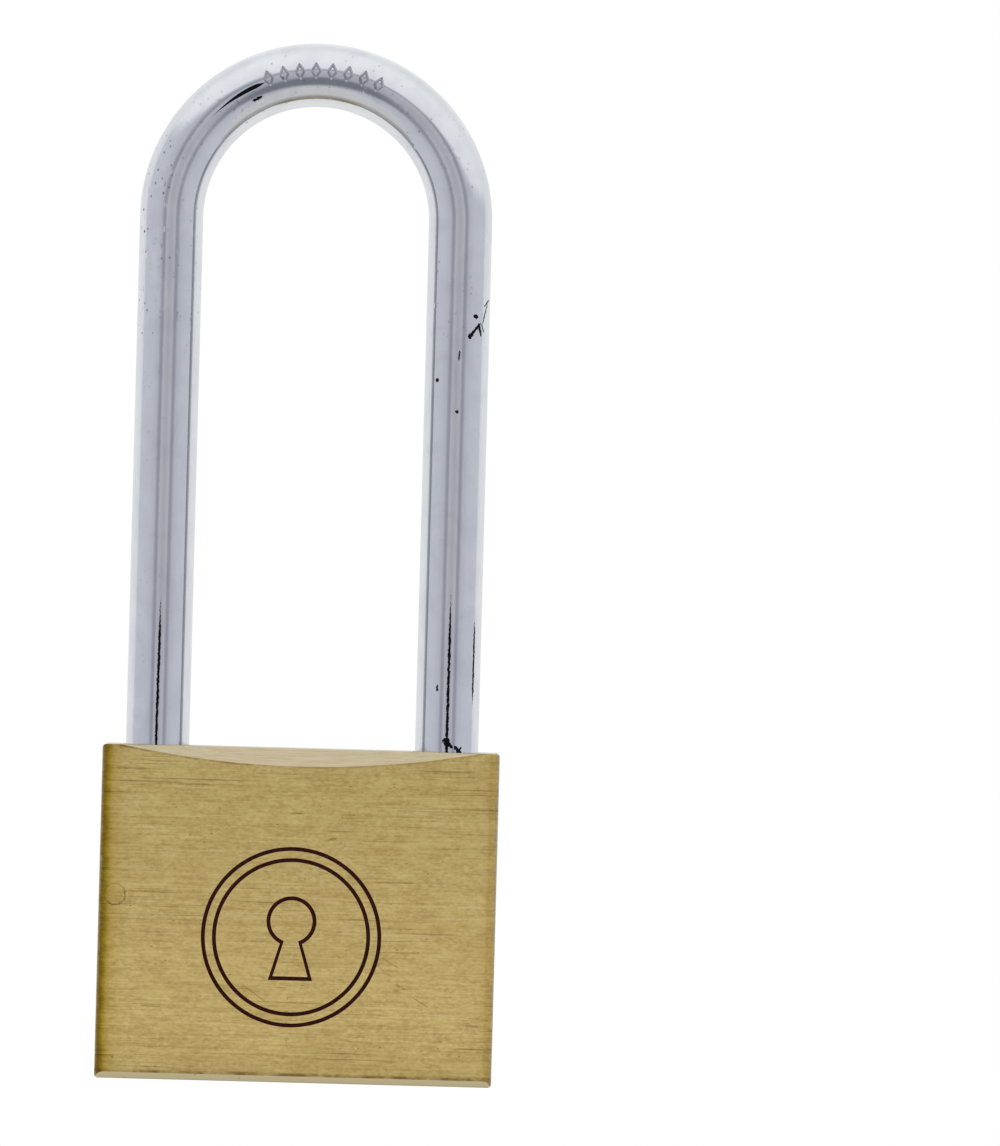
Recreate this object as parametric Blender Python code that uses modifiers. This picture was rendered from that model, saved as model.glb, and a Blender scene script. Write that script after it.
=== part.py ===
"""Long-shackle brass padlock: a drilled block, a steel shackle, a pin-tumbler cylinder and its spring bolt.

Lengths are in metres, +Z is up, and the origin is the middle of the block's bottom face.
X runs across the block, towards the shackle leg that comes free, and the front faces -Y.
The lock is stored closed with its cylinder turned to "open", so that the shackle can lift.
"""

import math

import bmesh
import bpy
from mathutils import Vector

MM = 0.001
SHARP_ANGLE = math.radians(32)
FLAT_ANGLE = math.radians(0.5)
RIM_ANGLE = math.radians(60)
MERGE = 0.000005

# Block
WIDTH = 50.0 * MM
DEPTH = 17.0 * MM
HEIGHT = 42.0 * MM
SIDE_ROUND = 1.2 * MM
BASE_CHAMFER = 0.8 * MM
CORNER_ROUND = 0.5 * MM
SCALLOP_DROP = 2.2 * MM
SCALLOP_HALF_WIDTH = 22.5 * MM
SCALLOP_LENGTH = 14.0 * MM
SCALLOP_SIDES = 400
PAST = 1.5 * MM

# Shackle
SHACKLE_RADIUS = 4.0 * MM
LEG_X = 18.25 * MM
INSIDE_HEIGHT = 81.0 * MM
CROWN_Z = HEIGHT + INSIDE_HEIGHT + SHACKLE_RADIUS - LEG_X
CROWN_STEPS = 24
SHACKLE_BEVEL_RESOLUTION = 10
LEG_HOLE_RADIUS = 4.3 * MM
TOE_HOLE_FLOOR = 29.5 * MM
HEEL_HOLE_FLOOR = 2.0 * MM
TOE_END = 30.0 * MM
LEG_END_CHAMFER = 0.7 * MM
HEEL_END = 6.5 * MM
FOOT_TOP = 8.65 * MM
NECK_TOP = 25.5 * MM
NECK_RADIUS = 2.9 * MM
SHACKLE_PIN_X = -23.0 * MM
SHACKLE_PIN_Z = 23.15 * MM
SHACKLE_PIN_RADIUS = 1.3 * MM

# Locking bolt
BOLT_Z = 35.4 * MM
BOLT_RADIUS = 2.6 * MM
BOLT_BORE_RADIUS = 2.85 * MM
BOLT_BORE_END = -10.8 * MM
BOLT_TIP = 13.75 * MM
BOLT_TAIL = -4.6 * MM
BOLT_NOSE_BEVEL = 2.0 * MM
BOLT_TRAVEL = 2.6 * MM
NOTCH_DEPTH = 2.4 * MM
NOTCH_CLEARANCE = 0.4 * MM
BORE_PLUG_START = 22.9 * MM

# Cylinder
PLUG_RADIUS = 6.5 * MM
PLUG_BORE_RADIUS = 6.65 * MM
PLUG_BOTTOM = 0.3 * MM
PLUG_TOP = 29.5 * MM
PLUG_BORE_TOP = 29.8 * MM
PLUG_SIDES = 48
GROOVE_BOTTOM = 26.0 * MM
GROOVE_TOP = 28.2 * MM
GROOVE_RADIUS = 5.4 * MM
KEYWAY_TOP = 26.3 * MM
PLUG_PIN_X = -6.55 * MM
PLUG_PIN_RADIUS = 1.0 * MM
PLUG_PIN_END = -3.2 * MM
TURN_TO_OPEN = math.radians(90)

# Cam between the plug and the bolt
CAM_CHAMBER_RADIUS = 4.5 * MM
CAM_CHAMBER_TOP = 35.2 * MM
CAM_RADIUS = 4.2 * MM
CAM_BOTTOM = 30.0 * MM
CAM_TOP = 32.3 * MM
CAM_PIN_TOP = 34.7 * MM
CAM_PIN_RADIUS = 1.2 * MM
CAM_PIN_ANGLE = math.radians(45)
CAM_PIN_ECCENTRICITY = BOLT_TRAVEL / 2 / math.sin(CAM_PIN_ANGLE)
CAM_SLOT_PLAY = 0.3 * MM
SHANK_HALF_SIDE = 1.95 * MM
POCKET_HALF_SIDE = 2.1 * MM
SHANK_BOTTOM = 27.3 * MM
POCKET_BOTTOM = 27.0 * MM

# Pin stacks
FIRST_STACK_Z = 4.6 * MM
STACK_PITCH = 4.2 * MM
KEY_PIN_LENGTHS = [5.45 * MM, 5.40 * MM, 6.15 * MM, 6.15 * MM, 4.85 * MM]
STACK_LENGTH = 10.6 * MM
STACK_BORE_RADIUS = 1.6 * MM
PLUG_CHAMBER_RADIUS = 1.5 * MM
PLUG_CHAMBER_FLOOR = -0.3 * MM
PIN_RADIUS = 1.35 * MM
PIN_CHAMFER = 0.3 * MM
KEY_PIN_OUTER = 6.35 * MM
DRIVER_INNER = 6.8 * MM
STACK_PLUG_START = 20.5 * MM
PRESS_GAP = 0.05 * MM

# Springs: wire radius, mean coil radius and turns
SPRING_GAP = 0.1 * MM
PIN_SPRING = (0.175 * MM, 1.05 * MM, 6)
BOLT_SPRING = (0.25 * MM, 1.9 * MM, 5)
SHACKLE_SPRING = (0.35 * MM, 2.9 * MM, 4)
COIL_POINTS = 10


def clear_scene():
    for obj in list(bpy.data.objects):
        bpy.data.objects.remove(obj, do_unlink=True)


def new_collection(name):
    collection = bpy.data.collections.new(name)
    bpy.context.scene.collection.children.link(collection)
    return collection


clear_scene()
PARTS = new_collection("padlock")
CUTTERS = new_collection("cutters")


def metal(name, colour, roughness):
    material = bpy.data.materials.new(name)
    material.use_nodes = True
    shader = material.node_tree.nodes["Principled BSDF"]
    shader.inputs["Base Color"].default_value = (*colour, 1.0)
    shader.inputs["Metallic"].default_value = 1.0
    shader.inputs["Roughness"].default_value = roughness
    material.diffuse_color = (*colour, 1.0)
    return material


BRUSHED_BRASS = metal("brushed_brass", (0.62, 0.48, 0.24), 0.38)
TURNED_BRASS = metal("turned_brass", (0.68, 0.54, 0.28), 0.3)
CHROME = metal("chrome_plate", (0.75, 0.77, 0.8), 0.12)
STEEL = metal("bright_steel", (0.55, 0.56, 0.58), 0.3)
SPRING_WIRE = metal("spring_wire", (0.4, 0.41, 0.44), 0.35)


def add_object(name, data, material=None, parent=None):
    """A part in its collection or, where it has no material, a cutter that isn't rendered."""
    obj = bpy.data.objects.new(name, data)
    obj.parent = parent
    if material:
        data.materials.append(material)
        PARTS.objects.link(obj)
    else:
        CUTTERS.objects.link(obj)
        obj.hide_render = True
        obj.display_type = "WIRE"
    return obj


def object_from_bmesh(name, shape, material=None, parent=None):
    mesh = bpy.data.meshes.new(name)
    shape.to_mesh(mesh)
    shape.free()
    mesh.shade_smooth()
    mesh.set_sharp_from_angle(angle=SHARP_ANGLE)
    return add_object(name, mesh, material, parent)


def empty_at(name, location, turn=0.0):
    empty = bpy.data.objects.new(name, None)
    empty.location = location
    empty.rotation_euler.z = turn
    PARTS.objects.link(empty)
    return empty


def rod(name, start, end, radius, sides, material=None, parent=None, chamfer=0.0):
    """A round bar from start to end, with its object origin at the middle of its axis."""
    start = Vector(start)
    end = Vector(end)
    along = end - start
    shape = bmesh.new()
    bmesh.ops.create_cone(
        shape,
        cap_ends=True,
        segments=sides,
        radius1=radius,
        radius2=radius,
        depth=along.length,
    )
    if chamfer:
        rims = [edge for edge in shape.edges if abs(edge.verts[0].co.z - edge.verts[1].co.z) < MERGE]
        bmesh.ops.bevel(shape, geom=rims, offset=chamfer, segments=1, affect="EDGES")
    obj = object_from_bmesh(name, shape, material, parent)
    obj.location = (start + end) / 2
    obj.rotation_euler = along.to_track_quat("Z", "Y").to_euler()
    return obj


def box(name, low, high, material=None, parent=None):
    low = Vector(low)
    high = Vector(high)
    shape = bmesh.new()
    bmesh.ops.create_cube(shape, size=1.0)
    bmesh.ops.scale(shape, vec=high - low, verts=shape.verts)
    obj = object_from_bmesh(name, shape, material, parent)
    obj.location = (low + high) / 2
    return obj


def turned_ring(name, inner, outer, bottom, top, steps, parent=None):
    """A ring about Z, cut from nothing but a closed profile and a Screw modifier."""
    corners = [(outer, top), (outer, bottom), (inner, bottom), (inner, top)]
    shape = bmesh.new()
    verts = [shape.verts.new((radius, 0, z)) for radius, z in corners]
    for first, second in zip(verts, verts[1:] + verts[:1]):
        shape.edges.new((first, second))
    obj = object_from_bmesh(name, shape, None, parent)
    screw = obj.modifiers.new("turn", "SCREW")
    screw.steps = steps
    screw.render_steps = steps
    screw.use_merge_vertices = True
    screw.merge_threshold = MERGE
    return obj


def boolean(target, other, operation="DIFFERENCE"):
    modifier = target.modifiers.new(other.name, "BOOLEAN")
    modifier.operation = operation
    modifier.object = other


def wire_curve(name, points, radius, resolution):
    curve = bpy.data.curves.new(name, "CURVE")
    curve.dimensions = "3D"
    curve.bevel_depth = radius
    curve.bevel_resolution = resolution
    curve.use_fill_caps = True
    spline = curve.splines.new("POLY")
    spline.points.add(len(points) - 1)
    for target, point in zip(spline.points, points):
        target.co = (*point, 1.0)
    return curve


def coil_points(coil_radius, wire_radius, length, turns):
    """A helix along +X from the origin, with its first and last turns closed up."""
    closed_pitch = 2.3 * wire_radius
    end_share = 1.0 / turns
    open_run = length - 2 * wire_radius - 2 * closed_pitch
    points = []
    steps = turns * COIL_POINTS
    for step in range(steps + 1):
        share = step / steps
        into_first = min(share / end_share, 1.0)
        into_last = max((share - 1.0 + end_share) / end_share, 0.0)
        into_middle = (min(max(share, end_share), 1.0 - end_share) - end_share) / (1.0 - 2 * end_share)
        x = wire_radius + closed_pitch * (into_first + into_last) + open_run * into_middle
        angle = 2 * math.pi * share * turns
        points.append((x, coil_radius * math.cos(angle), coil_radius * math.sin(angle)))
    return points


def spring(name, start, length, sizes, upright=False):
    wire_radius, coil_radius, turns = sizes
    points = coil_points(coil_radius, wire_radius, length, turns)
    obj = add_object(name, wire_curve(name, points, wire_radius, 1), SPRING_WIRE)
    obj.location = start
    if upright:
        obj.rotation_euler.y = math.radians(-90)
    return obj


def mesh_from_curve(name, curve, material, end_chamfer):
    """The curve's tube as a closed mesh object with its two ends chamfered, so that it can be cut."""
    guide = bpy.data.objects.new(name + "_guide", curve)
    CUTTERS.objects.link(guide)
    bpy.context.view_layer.update()
    mesh = bpy.data.meshes.new_from_object(guide.evaluated_get(bpy.context.evaluated_depsgraph_get()))
    shape = bmesh.new()
    shape.from_mesh(mesh)
    bmesh.ops.remove_doubles(shape, verts=shape.verts, dist=MERGE)
    bmesh.ops.dissolve_limit(shape, angle_limit=FLAT_ANGLE, verts=shape.verts, edges=shape.edges)
    rims = [edge for edge in shape.edges if edge.calc_face_angle() > RIM_ANGLE]
    bmesh.ops.bevel(shape, geom=rims, offset=end_chamfer, segments=1, affect="EDGES")
    shape.to_mesh(mesh)
    shape.free()
    mesh.name = name
    mesh.materials.clear()
    mesh.shade_smooth()
    mesh.set_sharp_from_angle(angle=SHARP_ANGLE)
    obj = add_object(name, mesh, material)
    obj.matrix_world = guide.matrix_world
    bpy.data.objects.remove(guide, do_unlink=True)
    return obj


def stack_height(index):
    return FIRST_STACK_Z + index * STACK_PITCH


def prism(name, outline, sweep):
    """The solid that a closed outline sweeps through along a straight line."""
    shape = bmesh.new()
    near = [shape.verts.new(point) for point in outline]
    far = [shape.verts.new(Vector(point) + Vector(sweep)) for point in outline]
    shape.faces.new(near)
    shape.faces.new(list(reversed(far)))
    for index in range(len(near)):
        after = (index + 1) % len(near)
        shape.faces.new((near[after], near[index], far[index], far[after]))
    bmesh.ops.recalc_face_normals(shape, faces=shape.faces)
    return object_from_bmesh(name, shape)


def front_outline():
    """The block seen from the front: a rectangle with slightly rounded corners."""
    points = []
    corners = [(1, 1, 0), (-1, 1, 90), (-1, -1, 180), (1, -1, 270)]
    for across, up, start in corners:
        centre_x = across * (WIDTH / 2 - CORNER_ROUND)
        centre_z = HEIGHT / 2 + up * (HEIGHT / 2 - CORNER_ROUND)
        for step in range(4):
            angle = math.radians(start + 30 * step)
            x = centre_x + CORNER_ROUND * math.cos(angle)
            z = centre_z + CORNER_ROUND * math.sin(angle)
            points.append((x, -DEPTH, z))
    return points


def side_outline():
    """The block seen from the side: a rectangle with both long base edges chamfered."""
    half = DEPTH / 2
    top = HEIGHT + PAST
    corners = [(-half, top), (-half, BASE_CHAMFER), (BASE_CHAMFER - half, 0)]
    corners += [(half - BASE_CHAMFER, 0), (half, BASE_CHAMFER), (half, top)]
    return [(-WIDTH, y, z) for y, z in corners]


def block_blank(name, material=None):
    """The block before it is hollowed and drilled."""
    shape = bmesh.new()
    bmesh.ops.create_cube(shape, size=1.0)
    bmesh.ops.scale(shape, vec=(WIDTH, DEPTH, HEIGHT + 2 * PAST), verts=shape.verts)
    bmesh.ops.translate(shape, vec=(0, 0, HEIGHT / 2), verts=shape.verts)
    uprights = [edge for edge in shape.edges if abs(edge.verts[0].co.z - edge.verts[1].co.z) > MERGE]
    bmesh.ops.bevel(shape, geom=uprights, offset=SIDE_ROUND, segments=4, profile=0.5, affect="EDGES")
    blank = object_from_bmesh(name, shape, material)
    boolean(blank, prism("front_shape", front_outline(), (0, 2 * DEPTH, 0)), "INTERSECT")
    boolean(blank, prism("side_shape", side_outline(), (2 * WIDTH, 0, 0)), "INTERSECT")
    return blank


def scallop_cutter(side):
    """The big wheel that hollows the block's top edge: deepest at the middle, gone near the corners."""
    hollow = SCALLOP_DROP * math.cos(math.radians(45))
    wheel_radius = (SCALLOP_HALF_WIDTH**2 + hollow**2) / (2 * hollow)
    slope = Vector((0, side, -1)).normalized()
    outward = Vector((0, side, 1)).normalized()
    deepest = Vector((0, side * (DEPTH / 2 - SCALLOP_DROP / 2), HEIGHT - SCALLOP_DROP / 2))
    centre = deepest + outward * wheel_radius
    half = slope * SCALLOP_LENGTH / 2
    name = "scallop_front" if side < 0 else "scallop_back"
    return rod(name, centre - half, centre + half, wheel_radius, SCALLOP_SIDES)


def build_body():
    body = block_blank("lock_body", BRUSHED_BRASS)
    for side in (-1, 1):
        boolean(body, scallop_cutter(side))
    top = HEIGHT + PAST
    boolean(body, rod("toe_hole", (LEG_X, 0, TOE_HOLE_FLOOR), (LEG_X, 0, top), LEG_HOLE_RADIUS, 32))
    boolean(body, rod("heel_hole", (-LEG_X, 0, HEEL_HOLE_FLOOR), (-LEG_X, 0, top), LEG_HOLE_RADIUS, 32))
    boolean(body, rod("plug_bore", (0, 0, -PAST), (0, 0, PLUG_BORE_TOP), PLUG_BORE_RADIUS, PLUG_SIDES))
    cam_floor = PLUG_BORE_TOP - PAST
    boolean(body, rod("cam_chamber", (0, 0, cam_floor), (0, 0, CAM_CHAMBER_TOP), CAM_CHAMBER_RADIUS, 32))
    side = WIDTH / 2 + PAST
    boolean(body, rod("bolt_bore", (BOLT_BORE_END, 0, BOLT_Z), (side, 0, BOLT_Z), BOLT_BORE_RADIUS, 24))
    for index in range(len(KEY_PIN_LENGTHS)):
        z = stack_height(index)
        name = f"stack_bore_{index + 1}"
        boolean(body, rod(name, (PLUG_RADIUS - PAST, 0, z), (side, 0, z), STACK_BORE_RADIUS, 16))
    back = DEPTH / 2 + PAST
    x = SHACKLE_PIN_X
    pin_z = SHACKLE_PIN_Z
    radius = SHACKLE_PIN_RADIUS + PRESS_GAP
    boolean(body, rod("shackle_pin_bore", (x, -back, pin_z), (x, back, pin_z), radius, 16))
    pin_z = (GROOVE_BOTTOM + GROOVE_TOP) / 2
    radius = PLUG_PIN_RADIUS + PRESS_GAP
    start = PLUG_PIN_END - SPRING_GAP
    boolean(body, rod("plug_pin_bore", (PLUG_PIN_X, start, pin_z), (PLUG_PIN_X, back, pin_z), radius, 16))


def build_pressed_pieces():
    """The plugs and cross pins that close the block's drillings, flush with its faces."""
    side = WIDTH / 2
    for index in range(len(KEY_PIN_LENGTHS)):
        z = stack_height(index)
        name = f"chamber_plug_{index + 1}"
        rod(name, (STACK_PLUG_START, 0, z), (side, 0, z), STACK_BORE_RADIUS - PRESS_GAP, 16, TURNED_BRASS)
    radius = BOLT_BORE_RADIUS - PRESS_GAP
    rod("bolt_bore_plug", (BORE_PLUG_START, 0, BOLT_Z), (side, 0, BOLT_Z), radius, 24, TURNED_BRASS)
    x = SHACKLE_PIN_X
    z = SHACKLE_PIN_Z
    face = DEPTH / 2
    past = face + PAST
    pin = rod("shackle_retaining_pin", (x, -past, z), (x, past, z), SHACKLE_PIN_RADIUS, 16, TURNED_BRASS)
    boolean(pin, block_blank("flush_shape"), "INTERSECT")
    x = PLUG_PIN_X
    z = (GROOVE_BOTTOM + GROOVE_TOP) / 2
    rod("plug_retaining_pin", (x, PLUG_PIN_END, z), (x, face, z), PLUG_PIN_RADIUS, 16, TURNED_BRASS)


def shackle_path():
    """Heel end, up the heel leg, over the crown and down to the toe, about the heel leg's axis."""
    points = [(0, 0, HEEL_END), (0, 0, FOOT_TOP), (0, 0, NECK_TOP)]
    for step in range(CROWN_STEPS + 1):
        angle = math.pi * (1 - step / CROWN_STEPS)
        points.append((LEG_X + LEG_X * math.cos(angle), 0, CROWN_Z + LEG_X * math.sin(angle)))
    points.append((2 * LEG_X, 0, TOE_END))
    return points


def build_shackle():
    curve = wire_curve("shackle", shackle_path(), SHACKLE_RADIUS, SHACKLE_BEVEL_RESOLUTION)
    shackle = mesh_from_curve("shackle", curve, CHROME, LEG_END_CHAMFER)
    shackle.location = (-LEG_X, 0, 0)
    outside = SHACKLE_RADIUS + PAST
    neck = turned_ring("neck_ring", NECK_RADIUS, outside, FOOT_TOP, NECK_TOP, 32)
    neck.location = (-LEG_X, 0, 0)
    boolean(shackle, neck)
    toe_inner = LEG_X - SHACKLE_RADIUS
    reach = BOLT_RADIUS + NOTCH_CLEARANCE
    low = (toe_inner - PAST, -outside, BOLT_Z - reach)
    high = (toe_inner + NOTCH_DEPTH, outside, BOLT_Z + reach)
    boolean(shackle, box("bolt_notch", low, high))


def keyway_cutters(parent):
    """The key's stepped profile, open at the plug's side opposite the pins."""
    bottom = PLUG_BOTTOM - PAST
    steps = [
        ("keyway_back", -PLUG_RADIUS - PAST, -3.0 * MM, -1.1 * MM, 0.5 * MM),
        ("keyway_ward", -3.6 * MM, -0.6 * MM, -0.5 * MM, 1.1 * MM),
        ("keyway_blade", -1.2 * MM, 2.2 * MM, -1.1 * MM, 1.1 * MM),
    ]
    return [
        box(name, (low_x, low_y, bottom), (high_x, high_y, KEYWAY_TOP), None, parent)
        for name, low_x, high_x, low_y, high_y in steps
    ]


def build_plug(axis):
    low = (0, 0, PLUG_BOTTOM)
    high = (0, 0, PLUG_TOP)
    plug = rod("cylinder_plug", low, high, PLUG_RADIUS, PLUG_SIDES, TURNED_BRASS, axis)
    outside = PLUG_RADIUS + PAST
    sizes = (GROOVE_RADIUS, outside, GROOVE_BOTTOM, GROOVE_TOP)
    boolean(plug, turned_ring("plug_groove", *sizes, PLUG_SIDES, axis))
    for cutter in keyway_cutters(axis):
        boolean(plug, cutter)
    for index in range(len(KEY_PIN_LENGTHS)):
        z = stack_height(index)
        name = f"plug_chamber_{index + 1}"
        start = (PLUG_CHAMBER_FLOOR, 0, z)
        boolean(plug, rod(name, start, (outside, 0, z), PLUG_CHAMBER_RADIUS, 16, None, axis))
    half = POCKET_HALF_SIDE
    low = (-half, -half, POCKET_BOTTOM)
    high = (half, half, PLUG_TOP + PAST)
    boolean(plug, box("cam_pocket", low, high, None, axis))


def build_cam(axis):
    cam = rod("cam", (0, 0, CAM_BOTTOM), (0, 0, CAM_TOP), CAM_RADIUS, 32, STEEL, axis)
    half = SHANK_HALF_SIDE
    middle = (CAM_BOTTOM + CAM_TOP) / 2
    boolean(cam, box("cam_shank", (-half, -half, SHANK_BOTTOM), (half, half, middle), None, axis), "UNION")
    x = CAM_PIN_ECCENTRICITY * math.cos(CAM_PIN_ANGLE)
    y = CAM_PIN_ECCENTRICITY * math.sin(CAM_PIN_ANGLE)
    pin = rod("cam_pin", (x, y, middle), (x, y, CAM_PIN_TOP), CAM_PIN_RADIUS, 16, None, axis)
    boolean(cam, pin, "UNION")


def build_bolt():
    bolt = rod("locking_bolt", (BOLT_TAIL, 0, BOLT_Z), (BOLT_TIP, 0, BOLT_Z), BOLT_RADIUS, 24, STEEL)
    half = CAM_PIN_RADIUS + CAM_SLOT_PLAY
    middle = -BOLT_TRAVEL / 2
    wide = BOLT_RADIUS + PAST
    low = (middle - half, -wide, BOLT_Z - wide)
    high = (middle + half, wide, CAM_PIN_TOP + CAM_SLOT_PLAY)
    boolean(bolt, box("cam_slot", low, high))
    slope = box("nose_slope", (0, -wide, 0), (wide, wide, wide))
    slope.rotation_euler.y = math.radians(-45)
    diagonal = wide / math.sqrt(2)
    slope.location = (BOLT_TIP - BOLT_NOSE_BEVEL + diagonal, 0, BOLT_Z + BOLT_RADIUS)
    boolean(bolt, slope)


def build_tumblers(axis):
    """Key pins ride in the turned plug; drivers and their springs stay in the block."""
    for index, length in enumerate(KEY_PIN_LENGTHS):
        z = stack_height(index)
        number = index + 1
        inner = (KEY_PIN_OUTER - length, 0, z)
        outer = (KEY_PIN_OUTER, 0, z)
        rod(f"key_pin_{number}", inner, outer, PIN_RADIUS, 12, TURNED_BRASS, axis, PIN_CHAMFER)
        driver_end = DRIVER_INNER + STACK_LENGTH - length
        start = (DRIVER_INNER, 0, z)
        rod(f"driver_pin_{number}", start, (driver_end, 0, z), PIN_RADIUS, 12, STEEL, None, PIN_CHAMFER)
        room = STACK_PLUG_START - driver_end - 2 * SPRING_GAP
        spring(f"pin_spring_{number}", (driver_end + SPRING_GAP, 0, z), room, PIN_SPRING)


def build_springs():
    start = BOLT_BORE_END + SPRING_GAP
    spring("bolt_spring", (start, 0, BOLT_Z), BOLT_TAIL - SPRING_GAP - start, BOLT_SPRING)
    start = HEEL_HOLE_FLOOR + SPRING_GAP
    spring("shackle_spring", (-LEG_X, 0, start), HEEL_END - SPRING_GAP - start, SHACKLE_SPRING, True)


build_body()
build_pressed_pieces()
build_shackle()
build_bolt()
plug_axis = empty_at("plug_axis", (0, 0, 0), TURN_TO_OPEN)
build_plug(plug_axis)
build_cam(plug_axis)
build_tumblers(plug_axis)
build_springs()
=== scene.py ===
"""Long-shackle brass padlock: the finished look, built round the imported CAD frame.

Lengths are in metres and +Z is up. X runs across the block, and its front faces -Y.
Every CAD piece is replaced by a finer one of the same size that rides on the same body.
"""

import math

import bmesh
import bpy
from mathutils import Matrix, Vector


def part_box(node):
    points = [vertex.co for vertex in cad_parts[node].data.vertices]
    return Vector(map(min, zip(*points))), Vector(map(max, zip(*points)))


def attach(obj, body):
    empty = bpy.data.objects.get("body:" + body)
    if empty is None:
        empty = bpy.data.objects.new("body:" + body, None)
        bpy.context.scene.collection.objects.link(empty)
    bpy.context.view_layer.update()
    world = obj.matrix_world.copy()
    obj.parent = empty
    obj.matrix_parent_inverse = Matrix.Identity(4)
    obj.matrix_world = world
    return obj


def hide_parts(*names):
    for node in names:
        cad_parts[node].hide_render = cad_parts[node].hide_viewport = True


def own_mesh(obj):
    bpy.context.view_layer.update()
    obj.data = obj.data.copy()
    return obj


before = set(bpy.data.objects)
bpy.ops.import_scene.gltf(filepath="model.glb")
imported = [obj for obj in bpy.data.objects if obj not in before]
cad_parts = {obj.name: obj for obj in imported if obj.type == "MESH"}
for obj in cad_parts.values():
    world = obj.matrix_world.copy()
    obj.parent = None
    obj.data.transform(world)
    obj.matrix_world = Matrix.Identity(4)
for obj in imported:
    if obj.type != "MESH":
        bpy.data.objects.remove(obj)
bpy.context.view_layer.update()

MM = 0.001
SMOOTH_BELOW = math.radians(32)
EDGE_BAND_WIDTH = 4.0 * MM
BASE_CHAMFER = 0.8 * MM
STACKS = range(1, 6)

# Material slots of the block's mesh
FACE, MILLED, BORE, INK = range(4)


# ---------------------------------------------------------------- places taken from the frame


def middle_of(node):
    low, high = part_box(node)
    return (low + high) / 2


def half_size(node):
    low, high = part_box(node)
    return (high - low) / 2


def shackle_sizes():
    """(distance of a leg's axis from the middle, bar radius, height of the crown's centre)"""
    low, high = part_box("shackle")
    radius = (high.y - low.y) / 2
    leg_x = (high.x - low.x) / 2 - radius
    return leg_x, radius, high.z - radius - leg_x


# ---------------------------------------------------------------- shader building


class Shader:
    """A material or world under construction. Its methods add nodes and return an output of theirs."""

    def __init__(self, owner, surface="Principled BSDF", place="Object"):
        self.owner = owner
        owner.use_nodes = True
        self.tree = owner.node_tree
        self.surface = self.tree.nodes[surface]
        self.place = self.tree.nodes.new("ShaderNodeTexCoord").outputs[place]

    def node(self, kind, settings=(), **inputs):
        made = self.tree.nodes.new(kind)
        for key, value in dict(settings).items():
            setattr(made, key, value)
        for key, value in inputs.items():
            self.feed(made.inputs[key.replace("_", " ")], value)
        return made

    def feed(self, socket, value):
        if isinstance(value, bpy.types.NodeSocket):
            self.tree.links.new(value, socket)
        elif isinstance(value, tuple) and len(value) == 3 and socket.type == "RGBA":
            socket.default_value = (*value, 1.0)
        else:
            socket.default_value = value

    def set(self, **inputs):
        for key, value in inputs.items():
            self.feed(self.surface.inputs[key.replace("_", " ")], value)

    def scaled(self, scale, shift=(0, 0, 0)):
        return self.node("ShaderNodeMapping", Vector=self.place, Scale=scale, Location=shift).outputs[0]

    def noise(self, scale, detail=3.0, roughness=0.55, distortion=0.0, shift=(0, 0, 0)):
        made = self.node(
            "ShaderNodeTexNoise",
            Vector=self.scaled(scale, shift),
            Scale=1.0,
            Detail=detail,
            Roughness=roughness,
            Distortion=distortion,
        )
        return made.outputs[0]

    def cells(self, scale, shift=(0, 0, 0)):
        """(distance to the nearest of some scattered points, a random number for that point)"""
        made = self.node("ShaderNodeTexVoronoi", Vector=self.scaled(scale, shift), Scale=1.0)
        picked = self.node("ShaderNodeSeparateColor", Color=made.outputs["Color"])
        return made.outputs["Distance"], picked.outputs[0]

    def spread(self, source, low, high, to_low=0.0, to_high=1.0, shape="SMOOTHSTEP"):
        """Turns low..high into to_low..to_high, and stays at its ends outside them."""
        made = self.node("ShaderNodeMapRange", {"clamp": True, "interpolation_type": shape}, Value=source)
        for index, value in enumerate((low, high, to_low, to_high)):
            made.inputs[index + 1].default_value = value
        return made.outputs[0]

    def math(self, operation, first, second=0.0):
        made = self.node("ShaderNodeMath", {"operation": operation})
        self.feed(made.inputs[0], first)
        self.feed(made.inputs[1], second)
        return made.outputs[0]

    def times(self, *sources):
        product = sources[0]
        for source in sources[1:]:
            product = self.math("MULTIPLY", product, source)
        return product

    def mix(self, share, first, second, blend="MIX"):
        made = self.node("ShaderNodeMix", {"data_type": "RGBA", "blend_type": blend})
        self.feed(made.inputs[0], share)
        self.feed(made.inputs[6], first)
        self.feed(made.inputs[7], second)
        return made.outputs[2]

    def ramp(self, source, stops):
        """Colour that follows source through the given (position, colour) stops."""
        made = self.node("ShaderNodeValToRGB", Fac=source)
        elements = made.color_ramp.elements
        while len(elements) < len(stops):
            elements.new(0.5)
        for element, (position, colour) in zip(elements, stops):
            element.position = position
            element.color = (*colour, 1.0)
        return made.outputs[0]

    def distance(self, first, second):
        """Length of the vector with these two components."""
        squares = self.math("ADD", self.times(first, first), self.times(second, second))
        return self.math("SQRT", squares)

    def camera_ray(self):
        return self.node("ShaderNodeLightPath").outputs["Is Camera Ray"]

    def axis(self, letter):
        return self.node("ShaderNodeSeparateXYZ", Vector=self.place).outputs["XYZ".index(letter)]

    def bump(self, height, distance, strength=1.0):
        made = self.node("ShaderNodeBump", Height=height, Distance=distance, Strength=strength)
        self.feed(self.surface.inputs["Normal"], made.outputs[0])


def specks(shader, scale, size, share, shift=(0, 0, 0)):
    """1 inside a few small scattered marks, 0 elsewhere. share is how many of the cells have one."""
    distance, pick = shader.cells(scale, shift)
    inside = shader.spread(distance, size * 0.5, size, 1.0, 0.0)
    return shader.times(inside, shader.spread(pick, 1.0 - share - 0.005, 1.0 - share + 0.005))


def band(shader, source, centre, half, soft):
    """1 where source is within half of centre, fading to 0 over soft."""
    offset = shader.math("ABSOLUTE", shader.math("SUBTRACT", source, centre))
    return shader.spread(offset, half, half + soft, 1.0, 0.0)


def on_front(shader):
    return shader.math("LESS_THAN", shader.axis("Y"), 0.0)


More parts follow.
